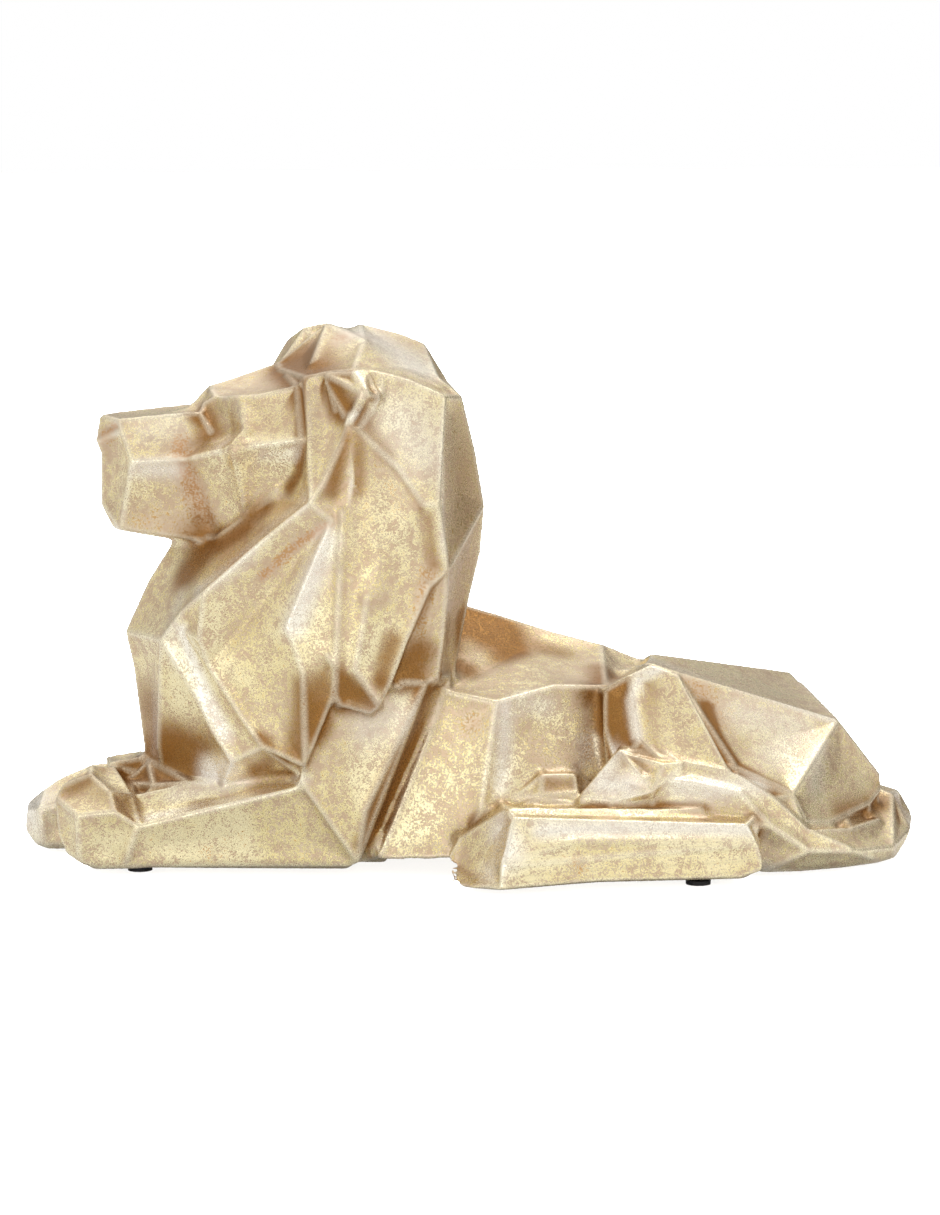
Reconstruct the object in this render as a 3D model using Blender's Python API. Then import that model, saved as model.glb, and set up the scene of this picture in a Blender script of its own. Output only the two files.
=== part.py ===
"""A lying lion cut in flat facets: one gilt casting that stands on four small rubber pads."""
import bmesh
import bpy
from mathutils import Vector

# Driving sizes, in metres
LENGTH = 0.368
PAD_DIAMETER = 0.010
PAD_THICKNESS = 0.0017
PAD_GAP = 0.0003

# The figure is measured in 368ths of its length, so one step is a millimetre.
# A corner is (x, out, z): x runs from nose to tail, out from the middle to the viewer's side.
STEP = LENGTH / 368
SOLE = (PAD_THICKNESS + PAD_GAP) / STEP
FAR_LEG_LEAD = -5.0
WELD = 0.00002
SEAM = 0.04

# Heights over the sole, in steps, of the lowest edges above the ground
EDGE_RISE = 1.5
CORE_RISE = 1.2
TOE_RISE = 0.8
GROIN_RISE = 0.6

# Corners are eased along a line to the sighting point until their facets lie flat.
SIGHT = (-248, 1765, 351)
FLATTEN_PASSES = 1200
HOLD = 0.12
SLIDE_HOLD = 0.002

# Pad centres on the sole, as (x, out)
PAD_PLACES = {
    "pad_fore_near": (-139, 27),
    "pad_fore_far": (-146, -34),
    "pad_hind_near": (80, 86),
    "pad_hind_far": (84, -46),
}

GILT = {"color": (0.62, 0.47, 0.28), "roughness": 0.42, "metallic": 0.85}
RUBBER = {"color": (0.03, 0.03, 0.03), "roughness": 0.8, "metallic": 0.0}


def clear_scene():
    """Removes what the file holds, so that only the figure is left in it."""
    for item in list(bpy.data.objects):
        bpy.data.objects.remove(item, do_unlink=True)


def principled(name, color, roughness, metallic):
    """A material with the part's colour, roughness and metallic value."""
    material = bpy.data.materials.new(name)
    material.use_nodes = True
    shader = material.node_tree.nodes["Principled BSDF"]
    shader.inputs["Base Color"].default_value = (*color, 1.0)
    shader.inputs["Roughness"].default_value = roughness
    shader.inputs["Metallic"].default_value = metallic
    return material


def place(corner):
    """The point in metres of a corner given as (x, out, z) in steps."""
    x, out, z = corner
    return Vector((x * STEP, -out * STEP, z * STEP))


def mirrored(corners):
    """The same corners on the far side of the figure."""
    return [(x, -out, z) for x, out, z in corners]


def moved(corners, along=0.0, outward=0.0, up=0.0):
    """The same corners, shifted."""
    return [(x + along, out + outward, z + up) for x, out, z in corners]


def finish_mesh(name, shape):
    """A mesh of plain triangles that all face out."""
    bmesh.ops.triangulate(shape, faces=shape.faces[:], quad_method="SHORT_EDGE", ngon_method="BEAUTY")
    bmesh.ops.recalc_face_normals(shape, faces=shape.faces[:])
    mesh = bpy.data.meshes.new(name)
    shape.to_mesh(mesh)
    shape.free()
    return mesh


def block(name, corners):
    """A convex block with the given corners."""
    shape = bmesh.new()
    for corner in corners:
        shape.verts.new(place(corner))
    hull = bmesh.ops.convex_hull(shape, input=shape.verts[:])
    inner = {item for item in hull["geom_interior"] if isinstance(item, bmesh.types.BMVert)}
    bmesh.ops.delete(shape, geom=list(inner), context="VERTS")
    return finish_mesh(name, shape)


def ring_normal(ring):
    """The mean normal of a ring of points that may not lie quite flat."""
    normal = Vector((0, 0, 0))
    for first, second in zip(ring, ring[1:] + ring[:1]):
        normal += first.cross(second)
    return normal.normalized()


def flatten(corners, facets, halved=False, pinned=()):
    """Eases the corners until every facet is flat.

    Corners at sole height keep it, in a halved body those on the middle plane stay there, and
    pinned ones don't move.
    """
    points = {key: Vector(corner) for key, corner in corners.items()}
    sight = {key: (Vector(SIGHT) - point).normalized() for key, point in points.items()}
    rings = [facet.split() for facet in facets]
    for _ in range(FLATTEN_PASSES):
        nudges = {key: [] for key in points}
        for keys in rings:
            ring = [points[key] for key in keys]
            middle = sum(ring, Vector()) / len(ring)
            normal = ring_normal([point - middle for point in ring])
            for key in keys:
                nudges[key].append(normal * normal.dot(middle - points[key]))
        for key, steps in nudges.items():
            if key in pinned:
                continue
            point = points[key] + sum(steps, Vector()) / max(len(steps), 1)
            drift = point - Vector(corners[key])
            slide = sight[key] * drift.dot(sight[key])
            point -= (drift - slide) * HOLD + slide * SLIDE_HOLD
            if corners[key][2] == SOLE:
                point.z = SOLE
            if halved and corners[key][1] == 0:
                point.y = 0
            points[key] = point
    return points


def body(name, points, facets):
    """A closed body; a facet is a line of corner names."""
    shape = bmesh.new()
    verts = {key: shape.verts.new(place(point)) for key, point in points.items()}
    for facet in facets:
        shape.faces.new([verts[key] for key in facet.split()])
    return finish_mesh(name, shape)


def carve(name, corners, facets, hidden=(), pinned=()):
    """A closed body with flat facets, and others inside the figure that need not be flat."""
    return body(name, flatten(corners, facets, pinned=pinned), [*facets, *hidden])


def relief(name, corners, facets):
    """A carving that is the same on both sides: facets, their mirror images, and walls from rim to rim.

    A corner with out = 0 lies on the middle plane and belongs to both sides.
    """
    near = flatten(corners, facets, halved=True)
    twin = {key: key if corner[1] == 0 else f"far_{key}" for key, corner in corners.items()}
    both = {twin[key]: Vector((point.x, -point.y, point.z)) for key, point in near.items()}
    both.update(near)
    rim = {}
    skins = []
    for facet in facets:
        keys = facet.split()
        skins += [facet, " ".join(twin[key] for key in keys)]
        for first, second in zip(keys, keys[1:] + keys[:1]):
            edge = frozenset((first, second))
            if rim.pop(edge, None) is None:
                rim[edge] = (first, second)
    for first, second in rim.values():
        wall = list(dict.fromkeys((first, second, twin[second], twin[first])))
        if len(wall) > 2:
            skins.append(" ".join(wall))
    return body(name, both, skins)


# The head

def head():
    """Muzzle, brow and cheeks, down to the neck that the mane hides."""
    corners = {
        "nose_top": (-151, 0, 183), "nose_front": (-153.5, 0, 172), "lip": (-151.5, 0, 167),
        "chin": (-150.5, 0, 147), "chin_low": (-146, 0, 137),
        "nose_corner": (-145, 14, 182), "nostril": (-144, 17, 178), "muzzle_front": (-140, 24, 166),
        "chin_corner": (-145, 16, 138), "muzzle_top": (-112, 15, 185), "bridge": (-114, 0, 186),
        "muzzle_back": (-121, 23, 167), "jaw_corner": (-108, 24, 133), "jaw": (-123, 0, 132),
        "eye_top": (-111, 15, 189), "eye_low": (-108, 18, 177),
        "forehead": (-107, 0, 193), "forehead_side": (-106, 15, 192),
        "brow": (-96, 30, 191), "brow_low": (-95, 33, 179),
        "crest": (-98, 0, 197), "crest_back": (-80, 0, 202), "brow_back": (-75, 38, 197),
        "temple": (-74, 44, 176), "cheekbone": (-100, 35, 172), "cheek": (-95, 38, 145),
        "cheek_back": (-78, 46, 161), "cheek_tip": (-105, 28, 131),
        "neck_top": (-60, 0, 200), "neck_side": (-60, 28, 192), "neck_mid": (-58, 34, 174),
        "neck_low": (-60, 22, 160), "throat_side": (-74, 14, 142), "throat_low": (-98, 10, 125),
        "throat": (-110, 0, 124),
    }
    facets = [
        "nose_top nose_front nostril nose_corner",
        "nose_front lip nostril",
        "lip chin chin_corner muzzle_front",
        "lip muzzle_front nostril",
        "chin chin_low chin_corner",
        "nose_top nose_corner muzzle_top bridge",
        "nose_corner nostril muzzle_front muzzle_back eye_low muzzle_top",
        "muzzle_front chin_corner jaw_corner muzzle_back",
        "chin_low jaw jaw_corner chin_corner",
        "bridge muzzle_top eye_top forehead_side forehead",
        "muzzle_top eye_low eye_top",
        "eye_top eye_low brow_low brow forehead_side",
        "eye_low muzzle_back cheekbone brow_low",
        "forehead forehead_side brow crest",
        "crest brow brow_back crest_back",
        "brow brow_low cheekbone temple brow_back",
        "muzzle_back jaw_corner cheek_tip cheek cheekbone",
        "cheekbone cheek cheek_back temple",
        "crest_back brow_back neck_side neck_top",
        "brow_back temple neck_mid neck_side",
        "temple cheek_back neck_low neck_mid",
        "cheek_back cheek throat_side neck_low",
        "cheek cheek_tip throat_low throat_side",
        "jaw throat throat_low cheek_tip jaw_corner",
    ]
    return relief("head", corners, facets)


# Mane and chest

def chest():
    """The breast below the throat and the long front lock that hangs beside it."""
    corners = {
        "throat": (-123, 0, 130), "breast_high": (-132, 0, 114), "breast": (-142, 0, 94),
        "breast_low": (-140, 0, 78), "breast_base": (-133, 0, 43), "breast_foot": (-130, 0, 26),
        "keel_top": (-129, 26, 94), "keel_base": (-131, 22, 50), "keel_foot": (-128, 22, 26),
        "lock_tip": (-121, 35, 107), "side_base": (-119, 37, 37), "side_foot": (-116, 32, 24),
        "band_high": (-122, 33, 82), "band_mid": (-115, 38, 70), "band_low": (-110, 42, 59),
        "band_end": (-103, 47, 47), "sill": (-106, 43, 37), "sill_end": (-97, 46, 39),
        "sill_foot": (-100, 40, 24), "tuck_high": (-110, 41, 87),
        "tuck_mid": (-99, 46, 69), "tuck_low": (-91, 50, 53), "tuck_end": (-76, 55, 43),
        "tuck_foot": (-74, 46, 24),
    }
    facets = [
        "breast breast_low keel_top",
        "breast_low breast_base keel_base keel_top",
        "breast_base breast_foot keel_foot keel_base",
        "keel_top keel_base side_base band_low band_mid band_high",
        "keel_base keel_foot side_foot side_base",
        "lock_tip keel_top band_high tuck_high hem_top",
        "band_high band_mid tuck_mid tuck_high",
        "band_mid band_low band_end tuck_low tuck_mid",
        "band_low side_base sill band_end",
        "band_end sill sill_end tuck_low",
        "tuck_low sill_end tuck_end",
        "side_base side_foot sill_foot sill",
        "sill sill_foot sill_end",
        "sill_end sill_foot tuck_foot tuck_end",
    ]
    return corners, facets


def throat_and_ruff():
    """The shaded hollow round the cheeks, and the bright ridge that runs from the ear to the breast."""
    corners = {
        "hollow_low": (-106, 21, 135), "hollow_mid": (-84, 35, 152), "hollow_high": (-78, 40, 178),
        "hollow_top": (-77, 35, 194),
        "ridge_low": (-113, 41, 115), "ridge_mid": (-91, 50, 137), "ridge_turn": (-72, 57, 152),
        "ridge_high": (-67, 58, 159), "ridge_upper": (-62, 58, 171), "ridge_ear": (-57, 57, 182),
        "ruff_top": (-72, 42, 200), "ruff_mid": (-71, 50, 181), "ruff_low": (-71, 53, 159),
    }
    facets = [
        "throat breast_high ridge_low",
        "breast_high breast keel_top lock_tip ridge_low",
        "throat ridge_low ridge_mid ridge_turn hollow_mid hollow_low",
        "ruff_top hollow_top hollow_high ruff_mid",
        "ruff_mid hollow_high hollow_mid ruff_low",
        "ruff_low hollow_mid ridge_turn",
        "ruff_top ruff_mid ruff_low ridge_turn ridge_high ridge_upper ridge_ear eave_ear eave_ruff",
    ]
    return corners, facets


def crown():
    """The top of the mane, from the parting over the brow to the nape."""
    corners = {
        "parting_low": (-80, 0, 200), "peak": (-60, 0, 220), "peak_side": (-58, 6, 219),
        "front_edge": (-68, 28, 206), "top_a": (-45, 0, 218), "top_b": (-29, 0, 215),
        "top_c": (-19, 0, 211), "top_d": (-10, 0, 195),
        "crest_a": (-53, 12, 217), "crest_b": (-46, 20, 213), "crest_c": (-29, 30, 206),
        "crest_d": (-18, 36, 199), "nape_side": (-8, 30, 190),
        "eave_ruff": (-66, 47, 203), "eave_ear": (-54, 50, 204), "eave_mid": (-43, 53, 203),
        "eave_far": (-32, 53, 200), "shoulder": (-18, 54, 194),
    }
    facets = [
        "parting_low peak peak_side front_edge ruff_top",
        "parting_low ruff_top hollow_top",
        "peak peak_side crest_a crest_b top_a",
        "top_a crest_b top_b",
        "top_b crest_b crest_c crest_d top_c",
        "top_c crest_d top_d",
        "top_d crest_d nape_side",
        "peak_side front_edge ruff_top eave_ruff eave_ear crest_b crest_a",
        "crest_b eave_ear eave_mid eave_far crest_c",
        "crest_c eave_far shoulder nape_side crest_d",
    ]
    return corners, facets


def front_locks():
    """The broad lock under the ridge and the pale blade that falls behind it."""
    corners = {
        "hem_top": (-119, 39, 98), "hem_corner": (-116, 43, 96), "hem_high": (-112, 47, 86),
        "hem_mid": (-101, 54, 68), "hem_low": (-92, 59, 55), "hem_end": (-75, 63, 47),
        "fold_top": (-64, 60, 145), "fold_mid": (-89, 52, 116),
        "blade_root": (-57, 60, 177), "blade_a": (-69, 62, 134),
        "blade_b": (-82, 60, 103), "blade_c": (-80, 62, 98), "blade_tip": (-76, 64, 85),
        "back_a": (-58, 63, 165), "back_b": (-60, 64, 149), "back_c": (-61, 65, 138),
        "back_d": (-66, 65, 92), "cove": (-63, 60, 75),
    }
    facets = [
        "lock_tip ridge_low hem_corner hem_top",
        "hem_top hem_corner hem_high",
        "ridge_low ridge_mid ridge_turn fold_top fold_mid hem_high hem_corner",
        "fold_top blade_a blade_b hem_high fold_mid",
        "hem_high blade_b blade_c blade_tip hem_end hem_low hem_mid",
        "ridge_high ridge_turn fold_top back_b back_a",
        "ridge_ear ridge_upper ridge_high back_a blade_root",
        "fold_top blade_a back_c back_b",
        "blade_a blade_b blade_c blade_tip back_d back_c",
        "blade_tip back_d lock_base cove hem_end",
        "hem_top hem_high tuck_high",
        "hem_high hem_mid tuck_mid tuck_high",
        "hem_mid hem_low tuck_low tuck_mid",
        "hem_low hem_end tuck_end tuck_low",
    ]
    return corners, facets


def side_locks():
    """The golden valley and the big pale lock on the side of the mane."""
    corners = {
        "lock_root": (-53, 58, 181),
        "edge_c": (-45, 70, 132),
        "edge_d": (-51, 71, 116), "edge_e": (-56, 72, 87), "lock_base": (-63, 65, 87),
        "lock_point": (-46, 73, 72), "rear_a": (-37, 63, 166), "rear_b": (-28, 65, 152),
        "rear_c": (-26, 71, 120), "rear_d": (-36, 72, 97), "rear_e": (-42, 72, 80),
        "under_a": (-49, 66, 68), "under_b": (-61, 61, 71),
    }
    facets = [
        "blade_root back_a back_b edge_c lock_root",
        "back_b back_c back_d lock_base edge_e edge_d edge_c",
        "lock_root edge_c rear_b rear_a",
        "edge_c edge_d edge_e lock_point rear_e rear_d rear_c rear_b",
        "lock_base edge_e lock_point under_a under_b cove",
        "ridge_ear blade_root lock_root",
    ]
    return corners, facets


def rear_of_mane():
    """The flat side behind the ear, the upright rear ridge and the shaded back."""
    corners = {
        "ear_back": (-43, 54, 195), "side_b": (-21, 61, 151), "side_d": (-18, 63, 125),
        "side_e": (-19, 61, 97),
        "side_f": (-21, 57, 79), "nook_a": (-25, 64, 117), "nook_b": (-34, 62, 94),
        "nook_c": (-40, 60, 78), "nape_a": (-3, 32, 169), "nape_b": (1, 32, 147),
        "nape_c": (-1, 32, 128), "nape_d": (-6, 33, 109), "nape_e": (-13, 36, 76),
    }
    facets = [
        "eave_ear eave_mid ear_back lock_root ridge_ear",
        "eave_mid eave_far shoulder ear_back",
        "ear_back shoulder side_b rear_b rear_a lock_root",
        "rear_b side_b side_d rear_c",
        "rear_c side_d nook_a",
        "rear_c nook_a nook_b rear_d",
        "rear_d nook_b nook_c rear_e",
        "nook_a side_d side_e side_f nook_c nook_b",
        "shoulder nape_side nape_a nape_b side_d side_b",
        "side_d nape_b nape_c nape_d nape_e side_f side_e",
    ]
    return corners, facets


def mane():
    """Chest, ruff, crown and locks as one carving, the same on both sides."""
    corners = {}
    facets = []
    for section in (chest, throat_and_ruff, crown, front_locks, side_locks, rear_of_mane):
        section_corners, section_facets = section()
        corners.update(section_corners)
        facets += section_facets
    return relief("mane", corners, facets)


def ear_corners():
    """A folded ear: its cupped front, the narrow outer edge and the root inside the mane."""
    cup = [(-66, 46, 203), (-64, 49, 197), (-60, 53, 186)]
    rim = [(-54, 52, 203), (-51, 61, 196), (-56, 58, 183)]
    edge = [(-49, 51, 203), (-44, 58, 194), (-51, 57, 182)]
    root = [(-44, 46, 200), (-46, 48, 184), (-58, 44, 194)]
    return cup + rim + edge + root


def far_ruff():
    """The lock over the far temple, which stands a little proud of the brow."""
    front = [(-79, -30, 198), (-72, -24, 211), (-66, -13, 217), (-76, -14, 203), (-77, -40, 187)]
    back = [(-56, -14, 219), (-54, -34, 211), (-56, -50, 204), (-64, -50, 202), (-70, -51, 180)]
    back += [(-58, -56, 182)]
    root = [(-60, -10, 200), (-60, -30, 170)]
    return front + back + root


# Trunk and limbs

def trunk():
    """The barrel of the body between the mane and the haunch."""
    corners = {
        "withers": (-20, 0, 110), "back_a": (8, 0, 99), "back_b": (33, 0, 89), "back_c": (55, 0, 82.5),
        "back_d": (72, 0, 76.5), "loin": (74, 44, 73), "fold_a": (-18, 56, 75), "fold_b": (-2, 40, 81),
        "fold_c": (17, 24, 87), "withers_side": (-24, 40, 90), "rib_top": (3, 58, 70),
        "rib_low": (-4, 61, 27), "flank_top": (28, 50, 77), "flank_back": (48, 52, 75),
        "flank_low": (52, 58, 28), "elbow_top": (-24, 54, 60), "elbow_low": (-39, 57, 22),
        "belly_front": (-45, 55, 7), "belly_back": (-14, 56, 7), "belly_end": (60, 52, 7),
        "front_in": (-45, 30, 60),
    }
    facets = [
        "withers withers_side fold_a fold_b fold_c back_b back_a",
        "fold_a rib_top flank_top fold_b",
        "fold_b flank_top fold_c",
        "back_b fold_c flank_top back_c",
        "back_c flank_top flank_back",
        "back_c flank_back loin back_d",
        "fold_a elbow_top elbow_low rib_low rib_top",
        "rib_top rib_low flank_low flank_back flank_top",
        "elbow_low belly_front belly_back rib_low",
        "rib_low belly_back belly_end flank_low",
        "flank_low belly_end loin flank_back",
        "withers front_in elbow_top",
        "withers elbow_top fold_a withers_side",
        "front_in belly_front elbow_low elbow_top",
    ]
    return relief("trunk", corners, facets)


def upper_arm():
    """The slanting upper arm: a flat face and the band that turns to the back."""
    face = [(-66, 62, 80), (-26, 62, 80), (-51, 62, 28), (-54, 60, 7), (-77, 60, 41)]
    band = [(-15, 50, 80), (-43, 50, 22), (-45, 50, 6)]
    inner = [(-17, 18, 78), (-66, 18, 78), (-77, 18, 36), (-74, 18, 4), (-46, 18, 4)]
    return face + band + inner


def leg_side(x, z):
    """How far out the flat side of the foreleg lies."""
    return 61 + 0.186 * (x + 55) + 0.12 * (z - 25)


def forearm():
    """The lower leg that lies along the ground."""
    edge = [(-141, 21), (-77, 38), (-59, 31), (-52, 25)]
    base = [(-146, 4), (-56, 5)]
    side = [(x, leg_side(x, z), z) for x, z in edge + base]
    top = [(-143, 28, 30), (-119, 33, 36), (-77, 54, 41), (-58, 50, 40)]
    sole = [(x, leg_side(x, z) - 11, SOLE) for x, z in base]
    inner = [(-143, 9, 28), (-57, 9, 38), (-143, 9, SOLE), (-57, 9, SOLE)]
    return side + top + sole + inner


def onto_leg(corner, inset=0.0):
    """The corner, moved along its line of sight to the plane of the foreleg's flat side."""
    point = Vector(corner)
    sight = (Vector(SIGHT) - point).normalized()
    miss = leg_side(point.x, point.z) - inset - point.y
    return tuple(point + sight * miss / (sight.y - 0.186 * sight.x - 0.12 * sight.z))


def paw():
    """The blunt paw, one step higher than the leg behind it."""
    flat_side = {
        "brow": onto_leg((-165, 38, 25)), "ridge_c": onto_leg((-150, 47, 28)),
        "side_low": onto_leg((-164, 34, 5)), "side_foot": onto_leg((-157, 41, SOLE + EDGE_RISE)),
        "wrist_out": onto_leg((-140, 44, 21), SEAM),
        "wrist_foot": onto_leg((-140, 42, SOLE + EDGE_RISE), SEAM),
    }
    corners = {
        "tip": (-171, 16, 34), "crown_a": (-157, 8, 41), "crown_b": (-149, 8, 40),
        "ridge_a": (-159, 30, 40), "ridge_b": (-151, 42, 35), "toe": (-171, 11, 26),
        "toe_low": (-171, 12, 13), "lip": (-167, 21, 7), "wrist_in": (-142, 28, 30.5), **flat_side,
        "sole_toe": (-163, 14, SOLE), "sole_side": (-157, 32, SOLE), "sole_back": (-140, 34, SOLE),
        "sole_in": (-140, 7, SOLE), "back_in": (-140, 7, 34),
    }
    facets = [
        "tip crown_a ridge_a",
        "crown_a crown_b wrist_in ridge_b ridge_a",
        "ridge_b wrist_in wrist_out ridge_c",
        "tip ridge_a ridge_b ridge_c brow toe",
        "toe brow side_low lip toe_low",
        "brow ridge_c wrist_out wrist_foot side_foot side_low",
        "tip toe toe_low sole_toe sole_in back_in crown_b crown_a",
        "toe_low lip sole_toe",
        "lip side_low sole_side sole_toe",
        "side_low side_foot sole_side",
        "side_foot wrist_foot sole_back sole_side",
        "sole_toe sole_side sole_back sole_in",
    ]
    hidden = ["back_in sole_in sole_back wrist_foot wrist_out wrist_in", "crown_b back_in wrist_in"]
    return carve("paw", corners, facets, hidden, pinned=flat_side)


def far_paw():
    """The other paw, set further forward and lower."""
    inner = [(-178, -9, 19), (-150, -6, 27), (-177, -9, 4), (-150, -6, 4)]
    front = [(-182, -20, 17), (-183, -22, 9), (-180, -17, 3), (-181, -40, 16), (-182, -38, 8)]
    top = [(-175, -25, 24), (-168, -29, 28), (-154, -33, 33), (-146, -30, 34), (-160, -44, 26)]
    outer = [(-172, -46, 6), (-146, -46, 5), (-146, -46, 24)]
    sole = [(-174, -11, SOLE), (-176, -34, SOLE), (-150, -38, SOLE), (-150, -7, SOLE)]
    return inner + front + top + outer + sole


def web():
    """The low floor between the forelegs, with a step up to the breast."""
    step = [(-134, 8, 41), (-133, 24, 34), (-119, 34, 37), (-129, 16, 40), (-143, 8, 32)]
    floor = [(-146, 10, SOLE), (-60, 16, SOLE), (-60, 30, 38)]
    return step + floor + mirrored(step + floor)


def core():
    """The solid middle that chest, arms and mane stand on."""
    foot = SOLE + CORE_RISE
    front = [(-112, 30, foot), (-112, 30, 40), (-86, 42, 47), (-76, 51.5, 49), (-68, 52, 44), (-70, 48, 82)]
    near = front + [(-26, 46, 86), (-17, 30, 81), (-24, 48, 72), (-40, 44, foot)]
    return near + mirrored(near)


def rump():
    """Hips that lean over to the far side, with the flat seat behind."""
    corners = {
        "hip": (67, 38, 82), "loin": (72, 20, 82.5), "croup": (142.5, -30, 66), "dock": (145, -20, 64),
        "corner": (146, 40, 56), "hip_edge": (80, 46, 79), "thigh_top": (77, 52, 79),
        "thigh_back": (99, 66, 43), "low_edge": (121, 73, 33), "cusp": (163, 35, 39),
        "seat": (167, 30, 32), "seat_low": (167, 35, 28), "seat_side": (158, 51, 24),
        "foot_back": (138, 64, 19), "foot_side": (127, 71, 21), "sole_back": (156, 34, SOLE),
        "sole_side": (128, 60, SOLE), "sole_mid": (58, 60, SOLE), "knee_in": (56, 62, 44),
        "far_hip": (72, -34, 68), "far_edge": (98, -54, 56), "far_corner": (142, -46, 44),
        "far_seat": (164, -20, 32), "far_back": (156, -34, SOLE), "far_side": (104, -62, SOLE),
        "far_mid": (56, -58, SOLE), "far_knee": (56, -54, 40),
    }
    facets = [
        "hip loin croup dock corner hip_edge",
        "hip hip_edge thigh_top",
        "hip_edge corner low_edge thigh_back thigh_top",
        "corner cusp seat seat_low seat_side foot_back foot_side low_edge",
        "corner dock far_seat cusp",
        "dock far_corner far_seat",
        "far_hip far_knee far_mid far_side far_edge",
        "far_edge far_side far_back far_corner",
        "far_corner far_back far_seat",
        "sole_mid sole_side sole_back far_back far_side far_mid",
    ]
    hidden = [
        "loin far_hip far_edge",
        "loin far_edge croup",
        "croup far_edge far_corner dock",
        "cusp far_seat seat",
        "seat far_seat far_back sole_back seat_low",
        "seat_low sole_back seat_side",
        "seat_side sole_back sole_side foot_back",
        "foot_back sole_side foot_side",
        "thigh_top thigh_back knee_in",
        "thigh_back low_edge foot_side sole_side sole_mid knee_in",
        "hip thigh_top knee_in",
        "hip knee_in far_knee far_hip loin",
        "knee_in sole_mid far_mid far_knee",
    ]
    return carve("rump", corners, facets, hidden)


def thigh():
    """The flat panel of the bent thigh, proud of the hip behind it."""
    corners = {
        "top": (67, 50, 83), "back_top": (77, 58, 80), "back_low": (95, 74, 43),
        "shin": (66, 73, 49), "knee": (59, 70, 56), "front_top": (57, 56, 80),
        "groin_top": (47, 54, 74), "groin_mid": (46, 60, 60), "groin_low": (50, 68, 44),
        "low_front": (50, 66, 18), "low_back": (96, 74, 18), "in_top": (66, 20, 78),
        "in_front": (47, 20, 70), "in_low": (50, 20, 18), "in_back": (92, 50, 42),
        "in_low_back": (96, 40, 18), "in_back_top": (78, 40, 76),
    }
    facets = [
        "front_top top back_top back_low shin knee",
        "front_top knee groin_low groin_mid groin_top",
        "knee shin groin_low",
        "shin back_low low_back low_front groin_low",
    ]
    hidden = [
        "top in_top in_back_top back_top",
        "back_top in_back_top in_back back_low",
        "back_low in_back in_low_back low_back",
        "front_top groin_top in_front in_top top",
        "groin_top groin_mid groin_low low_front in_low in_front",
        "low_front low_back in_low_back in_low",
        "in_top in_front in_low in_low_back in_back in_back_top",
    ]
    return carve("thigh", corners, facets, hidden)


def far_thigh():
    """The far thigh, which lies flat on the ground."""
    top = [(60, -40, 62), (68, -50, 58), (104, -62, 40), (54, -56, 50)]
    side = [(48, -66, 28), (60, -72, 24), (112, -70, 16), (44, -62, 6)]
    sole = [(52, -66, SOLE), (110, -66, SOLE), (52, -30, SOLE), (110, -30, SOLE), (54, -30, 58)]
    return top + side + sole


def hind_foot():
    """The long foot that lies out in front of the haunch."""
    corners = {
        "top_front": (4, 78, 31), "top_back": (99, 76, 27), "edge_back": (98, 92, 24.5),
        "edge_front": (5, 88, 28.5), "bevel_back": (101, 98, 18), "bevel_mid": (27, 100, 21),
        "bevel_front": (-1, 100, 12), "chin_front": (-2, 103, 3), "side_mid": (38, 98, 4.5),
        "side_back": (95, 96, SOLE + EDGE_RISE), "heel": (106, 91, 6), "heel_in": (104, 82, 26),
        "toe_top": (-16, 84, 21), "toe_edge": (-20, 89, 12), "toe_out": (-22, 85, 12),
        "toe_low": (-21, 87, 5), "toe_foot": (-17, 95, SOLE + TOE_RISE),
        "sole_toe": (-14, 88, SOLE), "sole_front": (-2, 97, SOLE), "sole_mid": (38, 88, SOLE),
        "sole_heel": (98, 88, SOLE), "in_toe": (-14, 64, SOLE), "in_heel": (100, 60, SOLE),
        "in_toe_top": (-14, 64, 19), "in_front": (4, 60, 30), "in_back": (100, 60, 28),
    }
    facets = [
        "top_front edge_front edge_back heel_in top_back",
        "edge_front bevel_front bevel_mid bevel_back edge_back",
        "bevel_front chin_front side_mid side_back bevel_back bevel_mid",
        "bevel_back side_back heel",
        "edge_back bevel_back heel heel_in",
        "edge_front top_front toe_top toe_edge chin_front bevel_front",
        "toe_edge toe_foot chin_front",
        "toe_top toe_out toe_edge",
        "toe_out toe_low toe_foot toe_edge",
        "chin_front toe_foot sole_toe sole_front",
        "toe_foot toe_low sole_toe",
        "chin_front sole_front sole_mid side_mid",
        "side_mid sole_mid sole_heel side_back",
        "side_back sole_heel heel",
        "sole_toe in_toe in_heel sole_heel sole_mid sole_front",
    ]
    hidden = [
        "toe_low toe_out in_toe_top in_toe sole_toe",
        "toe_top top_front in_front in_toe_top",
        "toe_out toe_top in_toe_top",
        "top_front top_back in_back in_front",
        "top_back heel_in in_back",
        "heel_in heel sole_heel in_heel in_back",
        "in_toe_top in_front in_back in_heel in_toe",
    ]
    return carve("hind_foot", corners, facets, hidden)


def under_paw():
    """The paw of the other hind leg, which looks out between belly and foot."""
    top = [(7, 58, 30), (13, 56, 36), (20, 54, 39.5), (27, 52, 40), (33, 54, 39), (42, 57, 37)]
    near = [(18, 68, 33), (31, 68, 34), (36, 71, 30), (5, 66, 26)]
    root = [(8, 44, 20), (40, 44, 30), (40, 72, 20), (8, 70, 20)]
    return top + near + root


def groin():
    """The solid ground between belly, thigh and the long foot."""
    foot = SOLE + GROIN_RISE
    low = [(-8, 46, foot), (-8, 72, foot), (100, 46, foot), (100, 72, foot)]
    return low + [(4, 46, 20), (4, 72, 20), (100, 46, 24), (100, 72, 24)]


def tuft():
    """The pointed brush at the end of the tail."""
    peak = [(50, 70, 52.5), (54, 66, 51)]
    foot = [(33, 74, 34), (46, 80, 33.5), (62, 82, 37), (56, 77, 45)]
    root = [(36, 66, 28), (64, 66, 50), (66, 66, 28), (62, 78, 28), (44, 78, 26)]
    return peak + foot + root


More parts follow.
